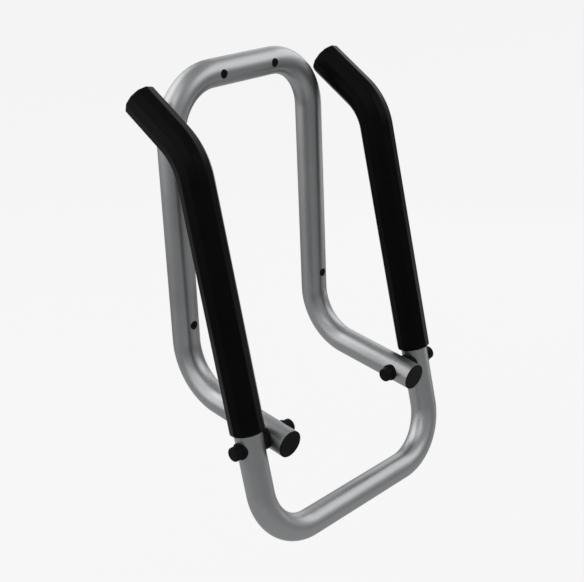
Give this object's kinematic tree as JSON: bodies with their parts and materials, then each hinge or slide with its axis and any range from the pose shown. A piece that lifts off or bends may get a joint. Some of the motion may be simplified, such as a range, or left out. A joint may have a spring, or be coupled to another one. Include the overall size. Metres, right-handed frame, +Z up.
{
  "type": "folding wall hanger",
  "caption": "Folding wall hanger of bent round tube: a frame screwed flat to the wall carries a U-shaped hanger with sleeved, hooked uprights that swing forward to hold bulky things.",
  "frame": {"origin": "on the wall plane, midway between the two upper screw holes", "axes": "+X to the right for someone facing the wall, +Y into the wall, +Z up; the hanger is folded up"},
  "size_m": [0.3014, 0.1695, 0.4599],
  "materials": {
    "silver_tube": "satin silver powder coat on steel tube",
    "black_sleeve": "smooth black rubber sleeve, slightly satin",
    "black_plastic": "fine satin black moulded plastic",
    "zinc_steel": "bright zinc plate"
  },
  "bodies": {
    "wall_frame": {"wall_frame_tube": "silver_tube", "arm_end_plug_left": "black_plastic", "arm_end_plug_right": "black_plastic", "screw_plug_top_left": "black_plastic", "screw_plug_top_right": "black_plastic", "screw_plug_leg_left": "black_plastic", "screw_plug_leg_right": "black_plastic", "arm_saddle_outer_left": "black_plastic", "arm_saddle_outer_right": "black_plastic", "arm_saddle_inner_left": "black_plastic", "arm_saddle_inner_right": "black_plastic", "bolt_cap_left": "black_plastic", "bolt_cap_right": "black_plastic", "nut_cap_left": "black_plastic", "nut_cap_right": "black_plastic", "pivot_bolt_left": "zinc_steel", "pivot_bolt_right": "zinc_steel", "pivot_nut_left": "zinc_steel", "pivot_nut_right": "zinc_steel"},
    "hanger": {"hanger_tube": "silver_tube", "grip_sleeve_left": "black_sleeve", "grip_sleeve_right": "black_sleeve", "hook_end_plug_left": "black_plastic", "hook_end_plug_right": "black_plastic", "upright_saddle_inner_left": "black_plastic", "upright_saddle_inner_right": "black_plastic", "upright_saddle_outer_left": "black_plastic", "upright_saddle_outer_right": "black_plastic"}
  },
  "joints": [
    {"name": "hanger_fold", "type": "hinge", "parent": "wall_frame", "child": "hanger", "pos_m": [0, -0.13436, -0.32933], "axis": [1, 0, 0], "range_deg": [0, 95.3]}
  ]
}
